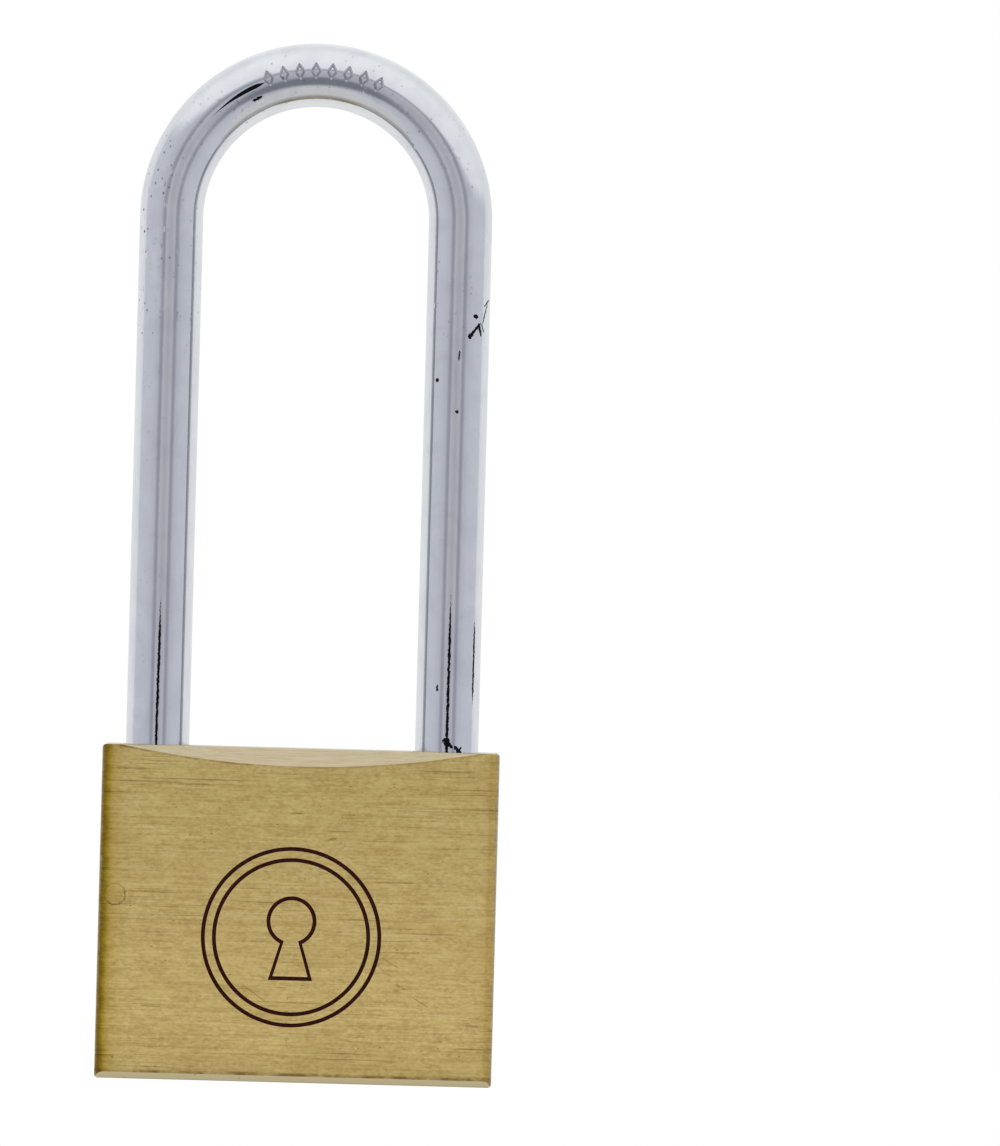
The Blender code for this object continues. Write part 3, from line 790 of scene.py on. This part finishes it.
def build_block(face, milled, bored, ink):
    low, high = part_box("lock_body")
    leg_x, radius, _ = shackle_sizes()
    block = build_blank(face, milled, bored, ink)
    for side in (-1, 1):
        carve(block, scallop_shape(side), MILLED)
    leg_bore = radius + LEG_CLEARANCE
    bore_up(block, leg_x, leg_bore, TOE_HOLE_FLOOR, high.z + PAST)
    bore_up(block, -leg_x, leg_bore, HEEL_HOLE_FLOOR, high.z + PAST)
    plug_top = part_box("cylinder_plug")[1].z
    plug_bore = half_size("cylinder_plug").x + PLUG_CLEARANCE
    bore_up(block, 0, plug_bore, low.z - PAST, plug_top + PLUG_END_CLEARANCE)
    bore_up(block, 0, half_size("cam").x + CAM_CLEARANCE, plug_top - PAST, CAM_BORE_TOP)
    bore(block, "locking_bolt", "X", BOLT_BORE_END, high.x - PAST, BOLT_CLEARANCE)
    bore(block, "bolt_bore_plug", "X", high.x - 2 * PAST, high.x + PAST)
    for number in STACKS:
        bore(block, f"chamber_plug_{number}", "X", CHAMBER_END, high.x + PAST)
    bore(block, "shackle_retaining_pin", "Y", low.y - PAST, high.y + PAST)
    pin_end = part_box("plug_retaining_pin")[0].y
    bore(block, "plug_retaining_pin", "Y", pin_end - PIN_END_CLEARANCE, high.y + PAST)
    soften(block, BLOCK_EDGE)
    engrave_emblem(block)
    finish_shading(block)
    place(block, "lock_body", "block", "brushed_brass")


def build_pressed_pieces(material):
    """Plugs and pins that were pressed in and filed flush."""
    for node in [f"chamber_plug_{number}" for number in STACKS] + ["bolt_bore_plug"]:
        low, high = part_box(node)
        centre = middle_of(node)
        radius = half_size(node).z
        profile = [(0, radius - 0.2 * MM), (0.2 * MM, radius), (high.x - low.x, radius)]
        obj = lathe(node + "_turned", profile, (low.x, centre.y, centre.z), (1, 0, 0), material)
        place(obj, node, "block", "turned_brass")
    for node in ("shackle_retaining_pin", "plug_retaining_pin"):
        low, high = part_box(node)
        centre = middle_of(node)
        radius = half_size(node).z
        profile = [(0, radius), (high.y - low.y, radius)]
        obj = lathe(node + "_turned", profile, (centre.x, low.y, centre.z), (0, 1, 0), material)
        if node == "shackle_retaining_pin":
            carve(obj, upright_block(), 0, "INTERSECT")
            finish_shading(obj)
        place(obj, node, "block", "turned_brass")


# ---------------------------------------------------------------- shackle

BAR_SIDES = 96
CROWN_RINGS = 120
FOOT_TOP = 8.65 * MM
NECK_TOP = 25.5 * MM
NECK_RADIUS = 2.9 * MM
NECK_EASE = 0.15 * MM
LEG_END_CHAMFER = 0.7 * MM
TOE_END = 30.0 * MM
LEG_RINGS = [42.0 * MM, 70.0 * MM, 100.0 * MM]
NOTCH_DEPTH = 2.4 * MM
NOTCH_CLEARANCE = 0.4 * MM
STAMP_COUNT = 8
STAMP_FROM = math.radians(66.5)
STAMP_TO = math.radians(110)
STAMP_OUT = 0.5 * MM
STAMP_DEPTH = 0.22 * MM
STAMP_HALF_LONG = 0.8 * MM
STAMP_HALF_WIDE = 0.55 * MM
STAMP_LINE = 0.38 * MM


def leg_profile():
    """Heel leg from its foot to its shoulder, as (height, radius): foot, long neck and full bar."""
    radius = shackle_sizes()[1]
    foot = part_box("shackle")[0].z
    ease = NECK_EASE
    return [
        (foot, radius - LEG_END_CHAMFER),
        (foot + LEG_END_CHAMFER, radius),
        (FOOT_TOP - ease, radius),
        (FOOT_TOP, radius - ease),
        (FOOT_TOP, NECK_RADIUS + ease),
        (FOOT_TOP + ease, NECK_RADIUS),
        (NECK_TOP - ease, NECK_RADIUS),
        (NECK_TOP, NECK_RADIUS + ease),
        (NECK_TOP, radius - ease),
        (NECK_TOP + ease, radius),
        *[(z, radius) for z in LEG_RINGS],
    ]


def shackle_shape():
    """The bar as rings along its path. A station is (x, z, outward x, outward z, radius)."""
    leg_x, radius, crown_z = shackle_sizes()
    stations = [(-leg_x, z, -1.0, 0.0, r) for z, r in leg_profile()]
    for step in range(CROWN_RINGS + 1):
        angle = math.pi * (1 - step / CROWN_RINGS)
        out_x = math.cos(angle)
        out_z = math.sin(angle)
        stations.append((leg_x * out_x, crown_z + leg_x * out_z, out_x, out_z, radius))
    for z in [*reversed(LEG_RINGS), TOE_END + LEG_END_CHAMFER]:
        stations.append((leg_x, z, 1.0, 0.0, radius))
    stations.append((leg_x, TOE_END, 1.0, 0.0, radius - LEG_END_CHAMFER))
    shape = bmesh.new()
    rings = []
    for x, z, out_x, out_z, r in stations:
        rings.append([Vector((x + out_x * u, v, z + out_z * u)) for u, v in circle(r, BAR_SIDES)])
    add_rings(shape, rings)
    bmesh.ops.recalc_face_normals(shape, faces=shape.faces)
    return shape


def stamp_outline(angle, grow):
    """Corners of a lozenge on the bar's front, at an angle round the crown and grown by grow."""
    leg_x, radius, crown_z = shackle_sizes()
    out = Vector((math.cos(angle), 0, math.sin(angle)))
    along = Vector((-out.z, 0, out.x))
    middle = Vector((0, 0, crown_z)) + out * (leg_x + STAMP_OUT)
    corners = [(STAMP_HALF_LONG, 0), (0, STAMP_HALF_WIDE), (-STAMP_HALF_LONG, 0), (0, -STAMP_HALF_WIDE)]
    longer = 1 + grow / STAMP_HALF_WIDE
    points = []
    for out_size, along_size in corners:
        point = middle + out * out_size * longer + along * along_size * longer
        offset = STAMP_OUT + out_size * longer
        point.y = -math.sqrt(radius**2 - offset**2) + STAMP_DEPTH
        points.append(point)
    return points


def stamp_shape():
    """A row of plain lozenges, each a V-shaped groove, stamped along the crown's front."""
    shape = bmesh.new()
    lift = Vector((0, -2 * STAMP_DEPTH, 0))
    for index in range(STAMP_COUNT):
        angle = STAMP_FROM + (STAMP_TO - STAMP_FROM) * index / (STAMP_COUNT - 1)
        outer = [point + lift for point in stamp_outline(angle, STAMP_LINE)]
        inner = [point + lift for point in stamp_outline(angle, -STAMP_LINE)]
        rings = []
        for ring in (outer, inner, stamp_outline(angle, 0)):
            rings.append([shape.verts.new(point) for point in ring])
        for ring, following in zip(rings, rings[1:] + rings[:1]):
            for corner in range(4):
                after = (corner + 1) % 4
                shape.faces.new((ring[corner], ring[after], following[after], following[corner]))
    bmesh.ops.recalc_face_normals(shape, faces=shape.faces)
    return shape


def build_shackle(chrome):
    leg_x, radius, _ = shackle_sizes()
    shackle = object_of("shackle_bar", shackle_shape(), chrome)
    bolt = middle_of("locking_bolt")
    reach = half_size("locking_bolt").z + NOTCH_CLEARANCE
    inner = leg_x - radius
    low = (inner - PAST, -radius - PAST, bolt.z - reach)
    high = (inner + NOTCH_DEPTH, radius + PAST, bolt.z + reach)
    carve(shackle, block_shape(low, high))
    carve(shackle, stamp_shape())
    finish_shading(shackle)
    place(shackle, "shackle", "shackle", "chrome_plate")


# ---------------------------------------------------------------- cylinder, cam, bolt, pins, springs

PLUG_TURN = Matrix.Rotation(math.radians(90), 4, "Z")
GROOVE_BOTTOM = 26.0 * MM
GROOVE_TOP = 28.2 * MM
GROOVE_DEPTH = 1.1 * MM
KEYWAY_TOP = 26.3 * MM
CHAMBER_RADIUS = 1.5 * MM
CHAMBER_START = -0.3 * MM
SOCKET_HALF = 2.1 * MM
SOCKET_FLOOR = 27.0 * MM
SHANK_HALF = 1.95 * MM
DISC_BOTTOM = 30.0 * MM
DISC_TOP = 32.3 * MM
CAM_PIN_RADIUS = 1.2 * MM
SLOT_X = -1.3 * MM
SLOT_HALF = 1.5 * MM
SLOT_TOP = 35.0 * MM
NOSE_BEVEL = 2.0 * MM
ECCENTRICITY = -SLOT_X / math.sin(math.radians(45))
EDGE_EASE = 0.06 * MM
PIN_WIRE = 0.17 * MM
BOLT_WIRE = 0.25 * MM
SHACKLE_WIRE = 0.35 * MM
STEPS_A_TURN = 28
CLOSED_PITCH = 2.3


def stack_z(number):
    return middle_of(f"chamber_plug_{number}").z


def build_plug(brass):
    low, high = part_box("cylinder_plug")
    radius = half_size("cylinder_plug").x
    groove = radius - GROOVE_DEPTH
    edge = 0.15 * MM
    length = high.z - low.z
    cut_low = GROOVE_BOTTOM - low.z
    cut_high = GROOVE_TOP - low.z
    profile = [
        (0, radius - edge),
        (edge, radius),
        (cut_low, radius),
        (cut_low, groove),
        (cut_high, groove),
        (cut_high, radius),
        (length - edge, radius),
        (length, radius - edge),
    ]
    plug = lathe("cylinder_core", profile, (0, 0, low.z), (0, 0, 1), brass, 96)
    bottom = low.z - PAST
    # The keyway's profile as boxes side by side: (from x, to x, from y, to y)
    keyway_steps = [
        (-radius - PAST, -3.0 * MM, -1.1 * MM, 0.5 * MM),
        (-3.6 * MM, -0.6 * MM, -0.5 * MM, 1.1 * MM),
        (-1.2 * MM, 2.2 * MM, -1.1 * MM, 1.1 * MM),
    ]
    for low_x, high_x, low_y, high_y in keyway_steps:
        carve(plug, block_shape((low_x, low_y, bottom), (high_x, high_y, KEYWAY_TOP)))
    for number in STACKS:
        base = (CHAMBER_START, 0, stack_z(number))
        chamber = [(0, CHAMBER_RADIUS), (radius + PAST, CHAMBER_RADIUS)]
        carve(plug, lathe_shape(chamber, base, (1, 0, 0), 48))
    half = SOCKET_HALF
    carve(plug, block_shape((-half, -half, SOCKET_FLOOR), (half, half, high.z + PAST)))
    soften(plug, EDGE_EASE)
    plug.data.transform(PLUG_TURN)
    finish_shading(plug)
    place(plug, "cylinder_plug", "cylinder", "turned_brass")


def build_cam(steel):
    low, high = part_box("cam")
    thickness = DISC_TOP - DISC_BOTTOM
    radius = half_size("cam").x
    edge = 0.2 * MM
    profile = [(0, radius - edge), (edge, radius), (thickness - edge, radius), (thickness, radius - edge)]
    cam = lathe("cam_disc", profile, (0, 0, DISC_BOTTOM), (0, 0, 1), steel, 96)
    half = SHANK_HALF
    carve(cam, block_shape((-half, -half, low.z), (half, half, DISC_BOTTOM + PAST)), 0, "UNION")
    offset = ECCENTRICITY * math.cos(math.radians(45))
    pin_bottom = DISC_BOTTOM + PAST
    length = high.z - pin_bottom
    pin = [(0, CAM_PIN_RADIUS), (length - edge, CAM_PIN_RADIUS), (length, CAM_PIN_RADIUS - edge)]
    carve(cam, lathe_shape(pin, (offset, offset, pin_bottom), (0, 0, 1), 48), 0, "UNION")
    soften(cam, EDGE_EASE)
    cam.data.transform(PLUG_TURN)
    finish_shading(cam)
    place(cam, "cam", "cylinder", "bright_steel")


def build_bolt(steel):
    low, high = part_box("locking_bolt")
    centre = middle_of("locking_bolt")
    radius = half_size("locking_bolt").y
    length = high.x - low.x
    edge = 0.25 * MM
    profile = [(0, radius - edge), (edge, radius), (length - edge, radius), (length, radius - edge)]
    bolt = lathe("spring_bolt", profile, (low.x, 0, centre.z), (1, 0, 0), steel, 72)
    wide = radius + PAST
    slot = block_shape((SLOT_X - SLOT_HALF, -wide, centre.z - wide), (SLOT_X + SLOT_HALF, wide, SLOT_TOP))
    carve(bolt, slot)
    slope = block_shape((0, -wide, 0), (2 * wide, wide, 2 * wide))
    lean = Matrix.Rotation(math.radians(-45), 3, "Y")
    bmesh.ops.rotate(slope, cent=(0, 0, 0), matrix=lean, verts=slope.verts)
    nose = Vector((high.x - NOSE_BEVEL, 0, centre.z + radius))
    bmesh.ops.translate(slope, vec=nose, verts=slope.verts)
    carve(bolt, slope)
    soften(bolt, 0.08 * MM)
    finish_shading(bolt)
    place(bolt, "locking_bolt", "bolt", "bright_steel")


def build_pins(brass, steel):
    """Key pins with a cone at one end, and plain drivers of the same radius."""
    for number in STACKS:
        node = f"key_pin_{number}"
        low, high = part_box(node)
        centre = middle_of(node)
        radius = half_size(node).z
        length = high.y - low.y
        profile = [
            (0, 0.5 * MM),
            (0.75 * MM, radius - 0.1 * MM),
            (0.95 * MM, radius),
            (length - 0.3 * MM, radius),
            (length - 0.1 * MM, radius - 0.12 * MM),
            (length, radius - 0.3 * MM),
        ]
        pin = lathe(node + "_turned", profile, (centre.x, low.y, centre.z), (0, 1, 0), brass, 48)
        place(pin, node, node, "turned_brass")
        node = f"driver_pin_{number}"
        low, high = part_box(node)
        centre = middle_of(node)
        length = high.x - low.x
        edge = 0.3 * MM
        profile = [(0, radius - edge), (edge, radius), (length - edge, radius), (length, radius - edge)]
        pin = lathe(node + "_turned", profile, (low.x, centre.y, centre.z), (1, 0, 0), steel, 48)
        place(pin, node, f"driver_{number}", "bright_steel")


def build_spring(node, axis, wire_radius, turns, material):
    """A closed-end coil along one axis, filling its node's box."""
    low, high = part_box(node)
    centre = middle_of(node)
    along = "XYZ".index(axis)
    coil_radius = (high.y - low.y) / 2 - wire_radius
    length = high[along] - low[along] - 2 * wire_radius
    closed = CLOSED_PITCH * wire_radius
    curve = bpy.data.curves.new(node + "_coil", "CURVE")
    curve.dimensions = "3D"
    curve.bevel_depth = wire_radius
    curve.bevel_resolution = 4
    curve.use_fill_caps = True
    steps = turns * STEPS_A_TURN
    spline = curve.splines.new("POLY")
    spline.points.add(steps)
    for step, point in enumerate(spline.points):
        turn = turns * step / steps
        into_first = min(turn, 1.0)
        into_last = max(turn - turns + 1.0, 0.0)
        into_middle = (min(max(turn, 1.0), turns - 1.0) - 1.0) / (turns - 2.0)
        run = wire_radius + closed * (into_first + into_last) + (length - 2 * closed) * into_middle
        angle = 2 * math.pi * turn
        u = coil_radius * math.cos(angle)
        v = coil_radius * math.sin(angle)
        if axis == "X":
            point.co = (low.x + run, centre.y + u, centre.z + v, 1.0)
        else:
            point.co = (centre.x + v, centre.y + u, low.z + run, 1.0)
    curve.materials.append(material)
    guide = bpy.data.objects.new(node + "_guide", curve)
    bpy.context.scene.collection.objects.link(guide)
    solid = guide.evaluated_get(bpy.context.evaluated_depsgraph_get())
    obj = bpy.data.objects.new(node + "_coil", bpy.data.meshes.new_from_object(solid))
    bpy.data.objects.remove(guide)
    bpy.data.curves.remove(curve)
    bpy.context.scene.collection.objects.link(obj)
    place(obj, node, "block", "spring_wire")
    return obj


def build_springs(material):
    """The pin springs, each with a mesh of its own, then the bolt spring and the shackle spring."""
    for number in STACKS:
        node = f"pin_spring_{number}"
        coil = build_spring(node, "X", PIN_WIRE, 6, material)
        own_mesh(coil)
    build_spring("bolt_spring", "X", BOLT_WIRE, 5, material)
    build_spring("shackle_spring", "Z", SHACKLE_WIRE, 4, material)


# ---------------------------------------------------------------- studio and camera

FRAME_LONG_SIDE = 144.7 * MM
SENSOR = 36.0
CAMERA_DISTANCE = 2.2
CAMERA_X = 24.4 * MM
CAMERA_Z = 64.8 * MM
CAMERA_ROLL = math.radians(1.53)
FLOOR_RADIUS = 0.14
FLOOR_GLOW = 0.85
FLOOR_DARK = (0.17, 0.17, 0.17)
FLOOR_PALE = (0.19, 0.19, 0.19)
# What the floor gives the lock, as (millimetres along Y, strength)
FLOOR_LIGHT = [(-60, 0.74), (-26, 0.36), (-8, 0.52), (8, 0.75), (20, 1.08)]
PLATE_REFLECTANCE = 0.5
# What bright plate shows of the tent, as (degrees from the front, colour) and (height, colour)
TENT_AROUND = [
    (0, (0.34, 0.35, 0.385)),
    (15, (0.40, 0.41, 0.45)),
    (20, (0.26, 0.27, 0.31)),
    (26, (0.26, 0.27, 0.31)),
    (34, (0.40, 0.41, 0.46)),
    (55, (0.44, 0.46, 0.51)),
    (100, (0.47, 0.49, 0.54)),
    (105, (0.61, 0.62, 0.64)),
    (125, (0.64, 0.65, 0.66)),
    (148, (0.58, 0.59, 0.60)),
    (180, (0.42, 0.43, 0.44)),
]
TENT_ROOF = [
    (0.45, (0.655, 0.675, 0.70)),
    (0.87, (0.735, 0.755, 0.775)),
    (1.0, (0.74, 0.76, 0.775)),
]
TENT_ROOF_BEHIND = (0.635, 0.65, 0.66)
TENT_GAP = (0.15, 0.16, 0.18)
TENT_GAP_TILT = math.radians(-22)
TENT_GAP_RIM = (math.radians(20), math.radians(7))


def build_camera():
    data = bpy.data.cameras.new("camera")
    data.sensor_width = SENSOR
    data.lens = SENSOR * CAMERA_DISTANCE / FRAME_LONG_SIDE
    data.clip_start = 0.05
    data.clip_end = 20.0
    camera = bpy.data.objects.new("camera", data)
    camera.location = (CAMERA_X, -CAMERA_DISTANCE, CAMERA_Z)
    straight = Matrix.Rotation(math.radians(90), 4, "X")
    camera.rotation_euler = (straight @ Matrix.Rotation(CAMERA_ROLL, 4, "Z")).to_euler()
    bpy.context.scene.collection.objects.link(camera)
    bpy.context.scene.camera = camera


def build_floor():
    """A small pale table. It lights the lock less in front of the block than behind it."""
    shader = Shader(bpy.data.materials.new("pale_floor"))
    across = shader.spread(shader.axis("Y"), -FLOOR_RADIUS, FLOOR_RADIUS)
    stops = []
    for y, light in FLOOR_LIGHT:
        stops.append((0.5 + 0.5 * y * MM / FLOOR_RADIUS, (light, light, light)))
    light = shader.ramp(across, stops)
    glow = shader.mix(shader.camera_ray(), light, (FLOOR_GLOW, FLOOR_GLOW, FLOOR_GLOW))
    tone = shader.mix(shader.noise((900, 900, 900), 3.0), FLOOR_DARK, FLOOR_PALE)
    shader.set(Base_Color=tone, Roughness=0.9, Emission_Color=WHITE, Specular_IOR_Level=0.0)
    shader.set(Emission_Strength=glow)
    shape = bmesh.new()
    bmesh.ops.create_circle(shape, cap_ends=True, segments=96, radius=FLOOR_RADIUS)
    floor = object_of("floor", shape, shader.owner)
    floor.location.z = -0.02 * MM


def build_world():
    """A light tent round the lock: walls, a roof above an uneven edge, and a dark gap low in front."""
    world = bpy.data.worlds.new("studio")
    bpy.context.scene.world = world
    shader = Shader(world, "Background", "Generated")
    x = shader.axis("X")
    y = shader.axis("Y")
    z = shader.axis("Z")
    toward = shader.times(y, -1.0)
    angle = shader.math("DIVIDE", shader.math("ARCCOSINE", toward), math.pi)
    walls = shader.ramp(angle, [(degrees / 180, colour) for degrees, colour in TENT_AROUND])
    roof = shader.mix(shader.spread(y, -0.1, 0.5, 0.0, 0.85), shader.ramp(z, TENT_ROOF), TENT_ROOF_BEHIND)
    ripple = shader.noise((9, 9, 9), 4.0, 0.5)
    height = shader.math("ADD", z, shader.times(x, 0.2))
    height = shader.math("ADD", height, shader.times(ripple, 0.16))
    tent = shader.mix(shader.spread(height, 0.38, 0.53), walls, roof)
    closeness = shader.math(
        "ADD",
        shader.times(toward, math.cos(TENT_GAP_TILT)),
        shader.times(z, math.sin(TENT_GAP_TILT)),
    )
    outer, inner = TENT_GAP_RIM
    tent = shader.mix(shader.spread(closeness, math.cos(outer), math.cos(inner)), tent, TENT_GAP)
    seen = shader.camera_ray()
    shader.set(Color=shader.mix(seen, tent, WHITE))
    shader.set(Strength=shader.spread(seen, 0.0, 1.0, 1.0 / PLATE_REFLECTANCE, 1.0))


# ---------------------------------------------------------------- everything together

bpy.context.scene.view_settings.view_transform = "Standard"
FACE_BRASS = brushed_brass((170, 170, 3600), "brushed_brass")
MILLED_BRASS = milled_brass()
BORE_BRASS = turned_metal("bored_brass", (0.26, 0.18, 0.06), (0.40, 0.30, 0.12), 0.4)
PIN_BRASS = turned_metal("turned_brass", (0.36, 0.26, 0.10), (0.50, 0.38, 0.17), 0.32)
STEEL = turned_metal("bright_steel", (0.36, 0.37, 0.39), (0.50, 0.51, 0.53), 0.26)
WIRE = turned_metal("spring_wire", (0.28, 0.29, 0.31), (0.42, 0.43, 0.45), 0.3)
CHROME = chrome_plate()
INK_MATERIAL = engraved_ink()

build_block(FACE_BRASS, MILLED_BRASS, BORE_BRASS, INK_MATERIAL)
build_pressed_pieces(FACE_BRASS)
build_shackle(CHROME)
build_plug(PIN_BRASS)
build_cam(STEEL)
build_bolt(STEEL)
build_pins(PIN_BRASS, STEEL)
build_springs(WIRE)
build_floor()
build_world()
build_camera()
